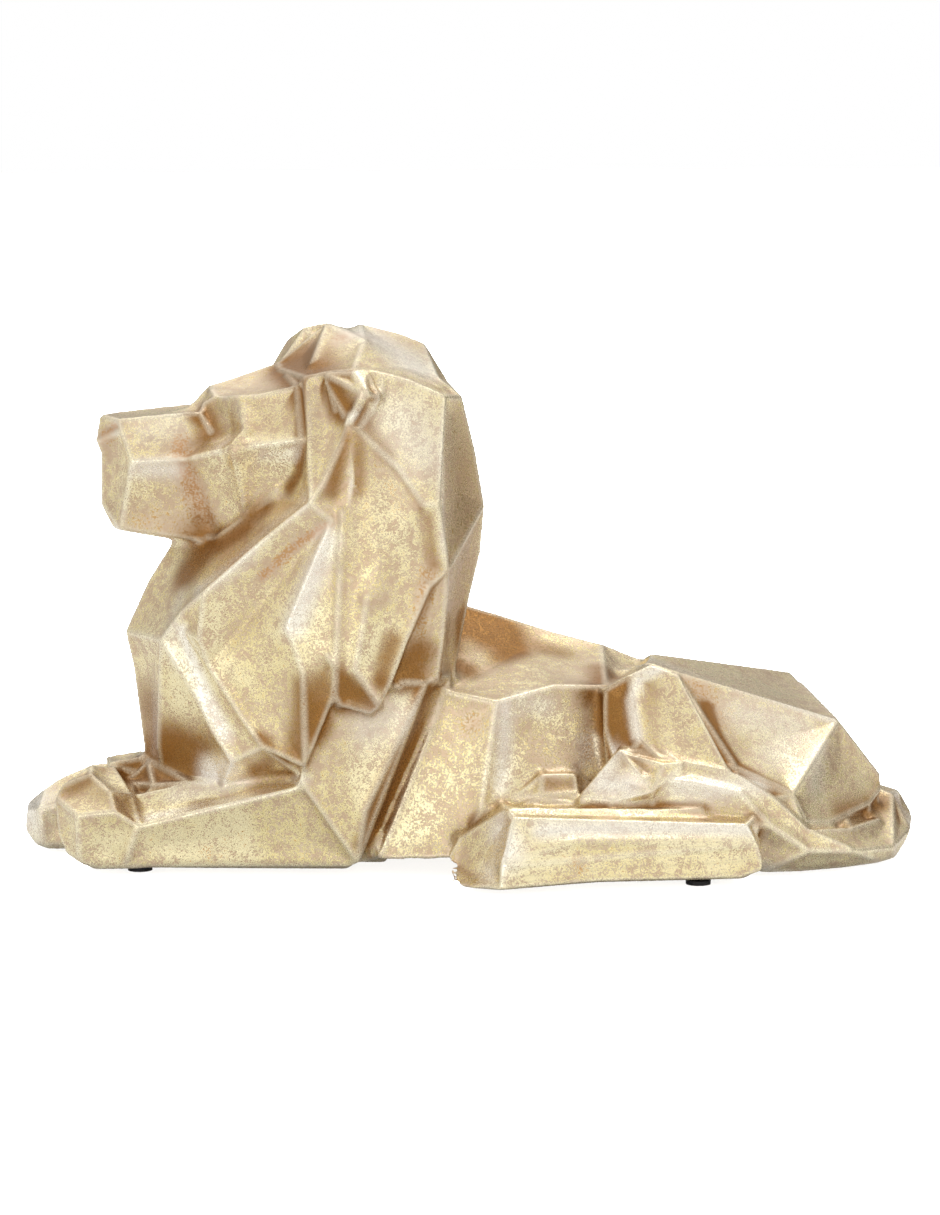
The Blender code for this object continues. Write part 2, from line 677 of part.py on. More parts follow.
def tail_sections():
    """Cross-sections of the tail from the dock round the haunch to the brush.

    Each one has the upper edge, the outer edge, the outer foot, the root on the haunch and the inner foot.
    """
    low = SOLE + EDGE_RISE
    return [
        [(181, -16, 18), (185, -12, 10), (182, -8, SOLE), (158, -16, 20), (148, -16, low)],
        [(181, 4, 20), (185, 12, 11), (178, 30, SOLE), (158, 4, 26), (148, 0, low)],
        [(173, 28, 23), (177, 42, 11), (168, 57, SOLE), (156, 22, 30), (144, 18, low)],
        [(162, 50, 17), (165, 64, 8), (159, 66, SOLE), (148, 46, 20), (134, 40, low)],
        [(146, 68, 17), (146, 79, 10), (142, 74, SOLE), (134, 56, 18), (122, 50, low)],
        [(127, 80, 19), (125, 86, 12), (123, 79, SOLE), (118, 64, 20), (110, 50, low)],
        [(113, 79, 32), (110, 86, 22), (107, 79, SOLE), (106, 62, 30), (98, 50, low)],
        [(98, 76, 42), (98, 81, 35), (98, 83, 25), (96, 60, 36), (96, 60, 20)],
        [(80, 74, 46), (78, 80, 40), (78, 82, 27), (76, 58, 42), (76, 58, 20)],
        [(58, 70, 50.5), (58, 78, 42), (54, 80, 28), (54, 56, 46), (54, 56, 22)],
    ]


def union(name, meshes):
    """One closed solid from overlapping meshes."""
    first, *others = meshes
    solid = bpy.data.objects.new(name, first)
    bpy.context.collection.objects.link(solid)
    helpers = []
    for mesh in others:
        helper = bpy.data.objects.new(mesh.name, mesh)
        bpy.context.collection.objects.link(helper)
        helpers.append(helper)
        join = solid.modifiers.new(helper.name, "BOOLEAN")
        join.operation = "UNION"
        join.solver = "EXACT"
        join.object = helper
    bpy.context.view_layer.update()
    graph = bpy.context.evaluated_depsgraph_get()
    joined = bpy.data.meshes.new_from_object(solid.evaluated_get(graph))
    joined.name = name
    solid.modifiers.clear()
    solid.data = joined
    for helper in helpers:
        bpy.data.objects.remove(helper, do_unlink=True)
    return solid


def tidy(solid):
    """Welds what the union left apart and dissolves its slivers."""
    shape = bmesh.new()
    shape.from_mesh(solid.data)
    bmesh.ops.remove_doubles(shape, verts=shape.verts[:], dist=WELD)
    bmesh.ops.dissolve_degenerate(shape, edges=shape.edges[:], dist=WELD)
    bmesh.ops.triangulate(shape, faces=shape.faces[:], ngon_method="BEAUTY")
    shape.to_mesh(solid.data)
    shape.free()


def lion(material):
    """The whole casting."""
    meshes = [mane(), head(), trunk(), rump(), thigh(), hind_foot(), paw()]
    convex = {
        "ear": ear_corners(), "far_ear": mirrored(ear_corners()), "far_ruff": far_ruff(),
        "arm": upper_arm(), "far_arm": mirrored(upper_arm()),
        "forearm": forearm(), "far_forearm": moved(mirrored(forearm()), along=FAR_LEG_LEAD),
        "far_paw": far_paw(), "web": web(), "core": core(), "far_thigh": far_thigh(),
        "under_paw": under_paw(), "groin": groin(), "tuft": tuft(),
    }
    meshes += [block(name, corners) for name, corners in convex.items()]
    sections = tail_sections()
    for index, (start, end) in enumerate(zip(sections, sections[1:])):
        meshes.append(block(f"tail_{index}", start + end))
    solid = union("lion", meshes)
    tidy(solid)
    solid.data.materials.clear()
    solid.data.materials.append(material)
    return solid


def pad(name, spot, material):
    """A round rubber pad under the sole."""
    x, out = spot
    shape = bmesh.new()
    bmesh.ops.create_cone(shape, cap_ends=True, segments=32, radius1=PAD_DIAMETER / 2,
                          radius2=PAD_DIAMETER / 2, depth=PAD_THICKNESS)
    mesh = bpy.data.meshes.new(name)
    shape.to_mesh(mesh)
    shape.free()
    mesh.materials.append(material)
    item = bpy.data.objects.new(name, mesh)
    item.location = (x * STEP, -out * STEP, PAD_THICKNESS / 2)
    bpy.context.collection.objects.link(item)
    return item


def centre(objects):
    """Moves the figure so that its bounding box stands over the origin."""
    bpy.context.view_layer.update()
    points = [item.matrix_world @ vert.co for item in objects for vert in item.data.vertices]
    for axis in (0, 1):
        low = min(point[axis] for point in points)
        high = max(point[axis] for point in points)
        for item in objects:
            item.location[axis] -= (low + high) / 2
    bpy.context.view_layer.update()


def main():
    """Builds the casting and its pads."""
    clear_scene()
    gilt = principled("gilt_resin", **GILT)
    rubber = principled("pad_rubber", **RUBBER)
    parts = [lion(gilt)]
    for name, spot in PAD_PLACES.items():
        parts.append(pad(name, spot, rubber))
    centre(parts)


main()
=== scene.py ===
"""Looks for the lying faceted lion: softened facets under worn, hand-laid metal leaf."""
import math

import bmesh
import bpy
import numpy as np
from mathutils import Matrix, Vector
from mathutils.bvhtree import BVHTree
from mathutils.kdtree import KDTree


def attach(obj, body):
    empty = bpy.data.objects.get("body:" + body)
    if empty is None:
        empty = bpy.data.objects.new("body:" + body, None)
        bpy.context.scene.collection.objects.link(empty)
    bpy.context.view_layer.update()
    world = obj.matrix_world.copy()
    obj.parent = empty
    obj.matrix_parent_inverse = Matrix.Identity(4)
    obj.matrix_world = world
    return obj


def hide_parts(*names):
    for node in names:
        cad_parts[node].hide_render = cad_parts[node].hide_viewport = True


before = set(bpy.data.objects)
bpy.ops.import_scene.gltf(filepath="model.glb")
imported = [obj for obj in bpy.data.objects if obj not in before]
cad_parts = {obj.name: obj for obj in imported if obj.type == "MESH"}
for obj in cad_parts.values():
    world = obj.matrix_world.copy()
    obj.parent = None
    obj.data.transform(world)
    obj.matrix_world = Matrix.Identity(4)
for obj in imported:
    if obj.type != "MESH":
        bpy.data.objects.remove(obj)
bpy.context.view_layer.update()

MM = 0.001

# The skin: its voxels, how far it swells and shrinks again to close clefts, and its smoothing
VOXEL = 0.75 * MM
CLEFT = 1.5 * MM
SOFT_PASSES_BEFORE = 2
SOFT_PASSES_AFTER = 4
SOFT_FACTOR = 0.5
SKIN_TRIANGLES = 195000

# Which edges of the casting count as ridges and creases, and how closely they are sampled
RIDGE_DEGREES = 12.0
SHORTEST_EDGE = 1.5 * MM
FAINT_REACH = 1.0 * MM
SAMPLE_GAP = 0.7 * MM
WELD = 0.001 * MM

# How the other edges melt away, more so the further they lie from a ridge or a crease
BLEND_REACH = 3.5 * MM
BLEND_PASSES = 70
BLEND_FACTOR = 0.6
BLEND_LEVELS = 8

# Relief of the facets: they are hollowed between their ridges and sink towards their creases
HOLLOW = 2.6 * MM
HOLLOW_REACH = 8.5 * MM
BEAD = 0.25 * MM
BEAD_REACH = 1.3 * MM
GROOVE = 0.9 * MM
GROOVE_REACH = 3.5 * MM
SWELL = 0.9 * MM

# At the ground: the flat sole, the rise over which the relief comes in, and the rounding of the lowest edge
SOLE_HEIGHT = 2.0 * MM
SOLE_FACING = -0.8
FOOT_RISE = 7.0 * MM
FOOT_ROUND = 0.7 * MM

# Shade in the hollows: how far the rays look, how many there are, and how far over the skin they start
SHADE_REACH = 40 * MM
SHADE_RAYS = 14
SHADE_START = 0.4 * MM
GOLDEN_ANGLE = 2.399963
OFF_AXIS = (0.31, 0.57, 0.76)

# A brush stroke with a facing fades out where the facet turns away: its edge and its fade, as cosines
FACING_EDGE = 0.72
FACING_FADE = 0.14

# Colours: leaf over its ground, what shows through it, what lies on it, the brown that also paints shade,
# the near-white that paints highlights, and the other materials
GROUND = ("CDB395", "DECBAD")
GOLD = ("F1E2A6", "F5E9BC")
CLAY = "BF8750"
SPECK = "86694E"
# Brown glaze, which also serves as painted shade in the hollows and creases
GLAZE_AND_SHADE_COLOUR = "8F5E18"
# Ridge tint: edges worn bright, and a painted highlight along the ridges
RIDGE_WEAR_AND_HIGHLIGHT = "FAF3DC"
# Near-white of the pale strokes: rubbed places and painted highlights
RUBBED_AND_HIGHLIGHT_COLOUR = "FFFAF0"
RUBBER = ("17161A", "35343A")
CARD = ("F4F4F4", "FBFBFB")
CARD_BOUNCE = "787878"
WHITE = (1.0, 1.0, 1.0, 1.0)

# The leaf's finish: where the flecks begin and end, and the plain values of its surface
FLECK_EDGE = (0.815, 0.875)
LEAF_ROUGHNESS = 0.26
LEAF_METAL = 0.84
COAT = 0.2
COAT_ROUGHNESS = 0.25
LEAF_BUMP = 0.07 * MM
RUBBER_BUMP = 0.05 * MM

# The floor and its own light, in metres, watts per square metre and degrees
FLOOR_SIZE = 14.0
FLOOR_SUN_ENERGY = 12.0
FLOOR_SUN_DEGREES = 100
FLOOR_SUN_HEIGHT = 2.0

# The room round the figure, and the lamp over it
ROOM_COLOUR = "FFF8EC"
ROOM_STRENGTH = 0.22
GLOW_CORE = 0.98
TOP_LAMP = {"azimuth": 95, "elevation": 72, "distance": 1.5, "width": 0.75, "height": 0.75, "power": 3.5}

# The camera: distance, angles, focal length in image pixels and the point it aims at
VIEW_DISTANCE = 1.8
VIEW_AZIMUTH = -8.0
VIEW_ELEVATION = 8.0
FOCAL_PIXELS = 4356.0
AIM = Vector((-1.0, 17.16, 101.0)) * MM
IMAGE_HEIGHT = 1215
SENSOR = 36.0
CLIP_START = 0.05
CLIP_END = 60.0


# Shape

def evaluated(item, name):
    """The object's mesh with its modifiers applied, put in place of the old one."""
    bpy.context.view_layer.update()
    graph = bpy.context.evaluated_depsgraph_get()
    mesh = bpy.data.meshes.new_from_object(item.evaluated_get(graph))
    item.modifiers.clear()
    item.data = mesh
    mesh.name = name
    return mesh


def mesh_points(mesh):
    """Vertex positions and normals as arrays."""
    count = len(mesh.vertices)
    points = np.empty(count * 3, dtype=np.float64)
    normals = np.empty(count * 3, dtype=np.float32)
    mesh.vertices.foreach_get("co", points)
    mesh.vertices.foreach_get("normal", normals)
    return points.reshape(-1, 3), normals.reshape(-1, 3).astype(np.float64)


def place_points(mesh, points):
    """Moves the vertices to the given positions."""
    mesh.vertices.foreach_set("co", points.ravel())
    mesh.update()


class Lines:
    """Straight stretches that answer how far a point is from the nearest of them."""

    def __init__(self, stretches):
        samples = []
        for start, end in stretches:
            count = max(2, int((end - start).length / SAMPLE_GAP))
            samples += [(start, end, step / count) for step in range(count + 1)]
        self.tree = KDTree(len(samples))
        for index, (start, end, share) in enumerate(samples):
            self.tree.insert(start.lerp(end, share), index)
        self.tree.balance()
        self.starts = np.array([start for start, _, _ in samples])
        self.ends = np.array([end for _, end, _ in samples])

    def gaps(self, points):
        """The distance of each point from the stretch whose sample is nearest."""
        nearest = np.array([self.tree.find(point)[1] for point in points])
        start, along = self.starts[nearest], self.ends[nearest] - self.starts[nearest]
        share = np.clip(((points - start) * along).sum(1) / (along * along).sum(1), 0.0, 1.0)
        return np.linalg.norm(points - start - share[:, None] * along, axis=1)


def crown_step(source):
    """The casting's own corners at the step on the crown, by name."""
    corners = [vert.co.copy() for vert in source.data.vertices]
    step = {}
    for name, place in CROWN_STEP.items():
        spot = Vector(place) * MM
        step[name] = min(corners, key=lambda corner: (corner - spot).length)
    return step


def add_hull(shape, corners):
    """Adds the convex body with the given corners."""
    verts = [shape.verts.new(corner) for corner in corners]
    hull = bmesh.ops.convex_hull(shape, input=verts)
    inner = {item for item in hull["geom_interior"] if isinstance(item, bmesh.types.BMVert)}
    bmesh.ops.delete(shape, geom=list(inner), context="VERTS")


def add_fillings(shape, source):
    """Adds every filling: the ones in FILLINGS, and the one that starts from the step on the crown."""
    for corners in FILLINGS.values():
        add_hull(shape, [Vector(corner) * MM for corner in corners])
    deep = [Vector(corner) * MM for corner in CROWN_DEEP]
    add_hull(shape, [*crown_step(source).values(), *deep])


def edge_lines(source):
    """The ridges and the creases of the casting and its fillings, without those that melt away."""
    shape = bmesh.new()
    shape.from_mesh(source.data)
    bmesh.ops.remove_doubles(shape, verts=shape.verts[:], dist=WELD)
    add_fillings(shape, source)
    step = crown_step(source)
    faint = {kind: step[start].lerp(step[end], 0.5) for kind, (start, end) in FAINT.items()}
    lines = {"ridge": [], "crease": []}
    for edge in shape.edges:
        if len(edge.link_faces) != 2 or edge.calc_length() < SHORTEST_EDGE:
            continue
        turn = edge.calc_face_angle_signed()
        if abs(turn) < math.radians(RIDGE_DEGREES):
            continue
        kind = "ridge" if turn > 0 else "crease"
        start, end = [vert.co.copy() for vert in edge.verts]
        if (start.lerp(end, 0.5) - faint[kind]).length > FAINT_REACH:
            lines[kind].append((start, end))
    shape.free()
    return {kind: Lines(stretches) for kind, stretches in lines.items()}


def remeshed(item):
    """An even skin of small quads over everything in the mesh."""
    remesh = item.modifiers.new("remesh", "REMESH")
    remesh.mode = "VOXEL"
    remesh.voxel_size = VOXEL
    return evaluated(item, item.data.name)


def smooth_passes(item, passes):
    """Evens out the mesh a little."""
    smooth = item.modifiers.new("smooth", "SMOOTH")
    smooth.factor = SOFT_FACTOR
    smooth.iterations = passes
    return evaluated(item, item.data.name)


def blended(item, weights):
    """Melts the faint edges away and leaves the ridges and creases, where the weights are low."""
    group = item.vertex_groups.new(name="blend")
    levels = np.round(weights * BLEND_LEVELS).astype(int)
    for level in range(1, BLEND_LEVELS + 1):
        group.add(np.nonzero(levels == level)[0].tolist(), level / BLEND_LEVELS, "REPLACE")
    smooth = item.modifiers.new("blend", "SMOOTH")
    smooth.factor = BLEND_FACTOR
    smooth.iterations = BLEND_PASSES
    smooth.vertex_group = "blend"
    mesh = evaluated(item, item.data.name)
    item.vertex_groups.clear()
    return mesh


def even_skin(source):
    """The casting with its fillings under one even skin, with its clefts closed."""
    shape = bmesh.new()
    shape.from_mesh(source.data)
    add_fillings(shape, source)
    mesh = bpy.data.meshes.new("lion_skin")
    shape.to_mesh(mesh)
    shape.free()
    skin = bpy.data.objects.new("lion_skin", mesh)
    bpy.context.collection.objects.link(skin)
    remeshed(skin)
    for reach in (CLEFT, -CLEFT):
        points, normals = mesh_points(skin.data)
        place_points(skin.data, points + normals * reach)
        remeshed(skin)
    return skin


def relief_depth(points, normals, ridge_gap, crease_gap):
    """How deep each point of the skin sinks; below 0 it rises."""
    depth = HOLLOW * (1.0 - np.exp(-ridge_gap / HOLLOW_REACH))
    depth += BEAD * (1.0 - np.exp(-(ridge_gap / BEAD_REACH) ** 2))
    depth += GROOVE * np.exp(-crease_gap / GROOVE_REACH) * np.clip(ridge_gap / GROOVE_REACH, 0.0, 1.0)
    for radius, rise, route in CARVED.values():
        depth -= rise * MM * np.clip(1.0 - stroke_gap(points / MM, route) / radius, 0.0, 1.0)
    height = np.clip((points[:, 2] - SOLE_HEIGHT) / FOOT_RISE, 0.0, 1.0)
    depth = (depth - SWELL) * height + FOOT_ROUND * (1.0 - height) ** 2
    depth[(normals[:, 2] < SOLE_FACING) & (points[:, 2] < 2 * SOLE_HEIGHT)] = 0.0
    return depth


def softened(source, lines):
    """A copy of the casting with hollowed facets, rounded ridges and sunk creases."""
    skin = even_skin(source)
    points, _ = mesh_points(smooth_passes(skin, SOFT_PASSES_BEFORE))
    ridge_gap = lines["ridge"].gaps(points)
    crease_gap = lines["crease"].gaps(points)
    mesh = blended(skin, np.clip(np.minimum(ridge_gap, crease_gap) / BLEND_REACH, 0.0, 1.0))
    points, normals = mesh_points(mesh)
    depth = relief_depth(points, normals, ridge_gap, crease_gap)
    place_points(mesh, points - normals * depth[:, None])
    mesh = smooth_passes(skin, SOFT_PASSES_AFTER)
    mesh.calc_loop_triangles()
    decimate = skin.modifiers.new("decimate", "DECIMATE")
    decimate.ratio = min(1.0, SKIN_TRIANGLES / len(mesh.loop_triangles))
    mesh = evaluated(skin, "lion_skin")
    points, _ = mesh_points(mesh)
    corners, _ = mesh_points(source.data)
    mesh.polygons.foreach_set("use_smooth", [True] * len(mesh.polygons))
    place_points(mesh, np.clip(points, corners.min(0), corners.max(0)))
    return skin


def ray_fan(count):
    """Directions spread over the upper half of a sphere."""
    fan = []
    for index in range(count):
        height = (index + 0.5) / count
        turn = index * GOLDEN_ANGLE
        flat = math.sqrt(1.0 - height * height)
        fan.append((flat * math.cos(turn), flat * math.sin(turn), height))
    return np.array(fan)


def openness(points, normals, tree):
    """The share of the half sphere over each point that is clear of the figure within reach."""
    fan = ray_fan(SHADE_RAYS)
    weight = fan[:, 2] / fan[:, 2].sum()
    side = np.cross(normals, np.array(OFF_AXIS))
    side /= np.linalg.norm(side, axis=1)[:, None]
    other = np.cross(normals, side)
    open_share = np.zeros(len(points))
    start = points + normals * SHADE_START
    for index in range(len(points)):
        rays = fan[:, :1] * side[index] + fan[:, 1:2] * other[index] + fan[:, 2:] * normals[index]
        origin = Vector(start[index])
        total = 0.0
        for ray, share in zip(rays, weight):
            hit = tree.ray_cast(origin, Vector(ray), SHADE_REACH)
            total += share if hit[0] is None else share * min(1.0, hit[3] / SHADE_REACH)
        open_share[index] = total
    return open_share


def store(mesh, name, values):
    """Keeps one number per vertex on the mesh for the materials to read."""
    layer = mesh.attributes.new(name, "FLOAT", "POINT")
    layer.data.foreach_set("value", np.asarray(values, dtype=np.float32))


def stroke_gap(points, route):
    """The distance of each point from a line of straight stretches, all in mm."""
    route = [np.array(stop, dtype=float) for stop in route]
    gap = np.linalg.norm(points - route[0], axis=1)
    for start, end in zip(route, route[1:]):
        along = end - start
        share = np.clip((points - start) @ along / (along @ along), 0.0, 1.0)
        gap = np.minimum(gap, np.linalg.norm(points - start - share[:, None] * along, axis=1))
    return gap


def paint(points, normals, strokes):
    """The strongest of some soft brush strokes at each point.

    A stroke is (radius, strength, facing, route), in mm. With a facing it keeps to the facets that face
    that way.
    """
    amount = np.zeros(len(points))
    for radius, strength, facing, route in strokes.values():
        share = np.clip(1.0 - stroke_gap(points / MM, route) / radius, 0.0, 1.0)
        share = share * share * (3.0 - 2.0 * share)
        if facing is not None:
            facing = np.array(facing) / np.linalg.norm(facing)
            share = share * np.clip((normals @ facing - FACING_EDGE) / FACING_FADE, 0.0, 1.0)
        amount = np.maximum(amount, strength * share)
    return amount


# Materials

class Graph:
    """A material's node tree with short calls for its nodes."""

    def __init__(self, name):
        self.material = bpy.data.materials.new(name)
        self.material.use_nodes = True
        self.tree = self.material.node_tree
        self.shader = self.tree.nodes["Principled BSDF"]
        coordinates = self.tree.nodes.new("ShaderNodeTexCoord")
        scale = self.tree.nodes.new("ShaderNodeVectorMath")
        scale.operation = "SCALE"
        scale.inputs["Scale"].default_value = 1.0 / MM
        self.tree.links.new(coordinates.outputs["Object"], scale.inputs[0])
        self.place = scale.outputs["Vector"]

    def plug(self, value, socket):
        """Links an output to a socket, or sets a plain value on it."""
        if isinstance(value, bpy.types.NodeSocket):
            self.tree.links.new(value, socket)
        else:
            socket.default_value = value

    def shifted(self, shift):
        """The place in mm, moved aside so that two noises don't fall together."""
        node = self.tree.nodes.new("ShaderNodeMapping")
        node.inputs["Location"].default_value = (shift, shift * 0.7, -shift)
        self.tree.links.new(self.place, node.inputs["Vector"])
        return node.outputs["Vector"]

    def noise(self, size, detail, roughness, warp=0.0, shift=0.0):
        """Fractal noise whose lumps are about size mm across."""
        node = self.tree.nodes.new("ShaderNodeTexNoise")
        node.inputs["Scale"].default_value = 1.0 / size
        node.inputs["Detail"].default_value = detail
        node.inputs["Roughness"].default_value = roughness
        node.inputs["Distortion"].default_value = warp
        self.tree.links.new(self.shifted(shift) if shift else self.place, node.inputs["Vector"])
        return node.outputs["Fac"]

    def attribute(self, name):
        """A number kept on the mesh."""
        node = self.tree.nodes.new("ShaderNodeAttribute")
        node.attribute_name = name
        return node.outputs["Fac"]

    def math(self, operation, first, second=0.0, third=0.0):
        """One arithmetic node."""
        node = self.tree.nodes.new("ShaderNodeMath")
        node.operation = operation
        for value, socket in zip((first, second, third), node.inputs):
            self.plug(value, socket)
        return node.outputs[0]

    def total(self, *terms):
        """The sum of (value, weight) pairs."""
        result = 0.0
        for value, weight in terms:
            result = self.math("MULTIPLY_ADD", value, weight, result)
        return result

    def step(self, value, low, high, smooth=True):
        """0 below low and 1 above high."""
        node = self.tree.nodes.new("ShaderNodeMapRange")
        node.interpolation_type = "SMOOTHSTEP" if smooth else "LINEAR"
        node.inputs["From Min"].default_value = low
        node.inputs["From Max"].default_value = high
        self.plug(value, node.inputs["Value"])
        return node.outputs["Result"]

    def blend(self, share, first, second):
        """Mixes two colours."""
        node = self.tree.nodes.new("ShaderNodeMix")
        node.data_type = "RGBA"
        self.plug(share, node.inputs["Factor"])
        for value, name in ((first, "A"), (second, "B")):
            socket = [item for item in node.inputs if item.name == name and item.type == "RGBA"][0]
            self.plug(rgba(value) if isinstance(value, str) else value, socket)
        return [item for item in node.outputs if item.type == "RGBA"][0]

    def laid(self, under, over, share, strength):
        """One colour laid over another where the share is high, never more strongly than the strength."""
        return self.blend(self.math("MULTIPLY", share, strength), under, over)

    def bump(self, height, distance, normal=None):
        """A bump of that height in metres."""
        node = self.tree.nodes.new("ShaderNodeBump")
        node.inputs["Distance"].default_value = distance
        self.plug(height, node.inputs["Height"])
        if normal is not None:
            self.tree.links.new(normal, node.inputs["Normal"])
        return node.outputs["Normal"]


def rgba(code):
    """A colour from its six-figure hexadecimal code."""
    parts = [int(code[index:index + 2], 16) / 255 for index in (0, 2, 4)]
    linear = [part / 12.92 if part <= 0.04045 else ((part + 0.055) / 1.055) ** 2.4 for part in parts]
    return (*linear, 1.0)


def leaf_material():
    """Champagne metal leaf, worn through in flecks to a pinkish ground and in patches to copper clay, with
    brown glaze and painted shade in its hollows and painted highlights on its ridges and rubbed places.
    """
    graph = Graph("champagne_leaf")
    ridge_gap = graph.attribute("ridge")
    crease_gap = graph.attribute("crease")
    shade = graph.attribute("shade")
    copper_here = graph.attribute("copper")
    brown_and_shade_here = graph.attribute("brown_and_shade")
    leaf_here = graph.attribute("leaf")
    pale_and_highlight_here = graph.attribute("pale_and_highlight")

    wide = graph.noise(26.0, 2.0, 0.5)
    patch = graph.noise(4.5, 4.0, 0.62, warp=0.15, shift=31.0)
    fleck = graph.noise(0.9, 5.0, 0.78, warp=0.1)
    grain = graph.noise(0.4, 3.0, 0.6, shift=57.0)

    # Leaf over its ground, worn to clay in patches and with dark specks
    cover = graph.total((wide, 0.25), (patch, 0.42), (fleck, 1.0), (leaf_here, 0.07), (copper_here, -0.06))
    leaf = graph.step(cover, *FLECK_EDGE)
    worn = graph.total((patch, 0.40), (fleck, 1.0), (copper_here, 0.20))
    copper = graph.step(worn, *FLECK_EDGE)
    speck = graph.step(graph.total((grain, 0.6), (fleck, 0.4)), 0.40, 0.36)
    ground = graph.blend(graph.step(patch, 0.35, 0.65), *GROUND)
    gold = graph.blend(graph.step(wide, 0.35, 0.65), *GOLD)
    colour = graph.laid(ground, gold, leaf, 0.92)
    colour = graph.laid(colour, CLAY, copper, 0.80)
    colour = graph.laid(colour, SPECK, speck, 0.5)

    # Brown glaze in the hollows and the creases, which also paints their shade: darker where the skin is
    # shut in, near creases and under the brown strokes
    near_crease = graph.step(crease_gap, 9.0, 0.0)
    shade_and_glaze = graph.total((graph.step(shade, 0.25, 0.95, False), 0.7), (brown_and_shade_here, 0.95), (near_crease, 0.35))
    shade_and_glaze = graph.total((shade_and_glaze, 1.0), (fleck, 0.55), (patch, 0.45), (pale_and_highlight_here, -0.7), (0.50, -1.0))
    shade_and_glaze = graph.math("MULTIPLY", graph.step(shade_and_glaze, 0.12, 1.05), 0.95)
    colour = graph.blend(shade_and_glaze, colour, GLAZE_AND_SHADE_COLOUR)

    # Ridges and edges rubbed bright, with a painted highlight along the ridges and where the pale strokes
    # lie
    ridge = graph.math("MULTIPLY", graph.step(ridge_gap, 2.4, 0.3), graph.step(fleck, 0.30, 0.50))
    colour = graph.laid(colour, RIDGE_WEAR_AND_HIGHLIGHT, ridge, 0.42)
    rubbed_and_highlit = graph.step(graph.total((fleck, 0.7), (patch, 0.3)), 0.25, 0.55)
    rubbed_and_highlit = graph.math("MULTIPLY", pale_and_highlight_here, rubbed_and_highlit)
    colour = graph.laid(colour, RUBBED_AND_HIGHLIGHT_COLOUR, rubbed_and_highlit, 0.85)

    graph.plug(colour, graph.shader.inputs["Base Color"])
    rough = graph.total((leaf, -0.10), (copper, 0.14), (grain, 0.10), (shade_and_glaze, 0.06), (pale_and_highlight_here, -0.04))
    graph.plug(graph.math("ADD", rough, LEAF_ROUGHNESS), graph.shader.inputs["Roughness"])
    metal = graph.total((leaf, 0.12), (copper, -0.30), (shade_and_glaze, -0.1))
    graph.plug(graph.math("ADD", metal, LEAF_METAL), graph.shader.inputs["Metallic"])
    graph.shader.inputs["Coat Weight"].default_value = COAT
    graph.shader.inputs["Coat Roughness"].default_value = COAT_ROUGHNESS
    low = graph.bump(graph.total((leaf, 0.5), (patch, 0.7)), LEAF_BUMP)
    fine = graph.bump(graph.total((grain, 0.6), (fleck, 0.8)), LEAF_BUMP, low)
    graph.plug(fine, graph.shader.inputs["Normal"])
    return graph.material


def rubber_material():
    """Matt black rubber with a fine grain and grey scuffs."""
    graph = Graph("pad_rubber_worn")
    grain = graph.noise(0.35, 3.0, 0.6)
    scuff = graph.step(graph.noise(1.4, 4.0, 0.65, warp=0.8), 0.52, 0.68)
    graph.plug(graph.blend(scuff, *RUBBER), graph.shader.inputs["Base Color"])
    graph.plug(graph.total((scuff, 0.12), (grain, 0.2), (1.0, 0.5)), graph.shader.inputs["Roughness"])
    graph.plug(graph.bump(grain, RUBBER_BUMP), graph.shader.inputs["Normal"])
    return graph.material


def floor_material():
    """White card to the camera, and darker in the light that it throws on the figure."""
    graph = Graph("white_card")
    fibre = graph.noise(1.2, 3.0, 0.6)
    paths = graph.tree.nodes.new("ShaderNodeLightPath")
    seen = graph.blend(fibre, *CARD)
    colour = graph.blend(paths.outputs["Is Camera Ray"], CARD_BOUNCE, seen)
    graph.plug(colour, graph.shader.inputs["Base Color"])
    graph.shader.inputs["Roughness"].default_value = 0.9
    graph.shader.inputs["Specular IOR Level"].default_value = 0.1
    return graph.material


# Pieces

# Small forms that the casting leaves out: corners of convex fillings, in mm
FILLINGS = {
    "step between the legs": [
        (-151, 14, 40), (-137, 14, 42), (-140, 9, 27), (-134, 9, 34), (-134, 9, 27), (-120, 14, 36),
        (-120, 14, 26), (-151, 30, 40), (-137, 30, 42), (-120, 30, 36), (-150, 30, 20), (-120, 30, 20),
        (-149, 14, 24),
    ],
    "under paw": [
        (19, -47, 42), (33, -46, 41.5), (18, -51, 34), (33, -51, 34.5), (8, -47, 33), (19, -38, 42),
        (36, -38, 41), (8, -38, 30), (36, -38, 30), (18, -50, 31), (33, -50, 31),
    ],
    "tuft": [
        (49, -53, 51), (61, -65, 37), (66, -60, 47), (66, -52, 51), (61, -62, 32), (75, -58, 47),
        (46, -62, 33), (33, -56, 33), (50, -50, 33),
    ],
    "seam of rump and tail": [
        (98, -50, 42), (119, -55.5, 32.5), (125, -53.5, 21), (97, -57, 41), (112, -60, 31.5),
        (125, -60, 20), (100, -45, 30), (118, -48, 22),
    ],
}
# The step on the crown, in mm: its filling starts from the casting's corners nearest to these places, and
# reaches down to the two deep ones
CROWN_STEP = {
    "low end": (-68, -9, 206), "crest": (-60, 17, 219), "far side of the crest": (-59, 18, 218),
    "bend": (-54, 8, 217), "near end": (-48, -7, 214),
}
CROWN_DEEP = [(-60, -4, 200), (-56, 8, 204)]
# Edges that melt away under that filling, by the corners that they join
FAINT = {"crease": ("low end", "far side of the crest"), "ridge": ("low end", "near end")}

# Routes that a carved line and a brush stroke share, in mm
EAR_RIM = [(-54, -36, 203), (-51, -42, 197), (-54, -42, 190), (-58, -42, 184)]
TUFT_CREASE = [(50, -54, 50), (48, -58, 42), (47, -62, 35)]
